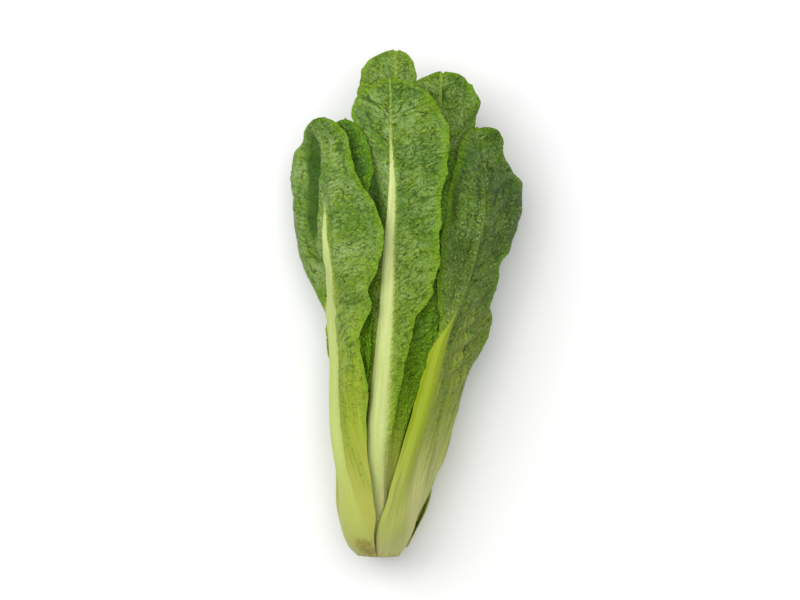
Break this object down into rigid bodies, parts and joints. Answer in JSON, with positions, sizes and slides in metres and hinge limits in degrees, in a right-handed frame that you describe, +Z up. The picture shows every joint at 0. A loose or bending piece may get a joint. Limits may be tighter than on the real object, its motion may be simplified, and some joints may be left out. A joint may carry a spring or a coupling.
{
  "type": "romaine lettuce head",
  "caption": "Whole head of romaine lettuce lying on its side: long waved green leaves with thick pale ribs, wrapped in layers round a short cut stem.",
  "frame": {"origin": "middle of the footprint, on the surface the head lies on", "axes": "+Y from the cut stem to the leaf tips, +X to the head's right seen from above, +Z up"},
  "size_m": [0.1275, 0.2878, 0.0799],
  "materials": {
    "outer_leaf": "green blistered leaf, yellower margins, pale green rib, soft sheen",
    "middle_leaf": "lighter green leaf, pale rib, soft sheen",
    "heart_leaf": "pale yellow green leaf, soft sheen",
    "stem": "pale cut stem, lightly browned on the cut face"
  },
  "bodies": {
    "root": {"outer_leaf_left": "outer_leaf", "outer_leaf_top": "outer_leaf", "outer_leaf_right": "outer_leaf", "outer_leaf_under": "outer_leaf", "outer_leaf_left_under": "outer_leaf", "outer_leaf_right_under": "outer_leaf", "left_back_leaf": "middle_leaf", "middle_leaf": "middle_leaf", "right_back_leaf": "middle_leaf", "top_back_leaf": "middle_leaf", "side_leaf_left": "middle_leaf", "side_leaf_right": "middle_leaf", "under_leaf_left": "middle_leaf", "under_leaf_right": "middle_leaf", "inner_leaf_1": "heart_leaf", "inner_leaf_2": "heart_leaf", "inner_leaf_3": "heart_leaf", "heart_leaf_1": "heart_leaf", "heart_leaf_2": "heart_leaf", "stem_core": "stem"}
  },
  "joints": []
}
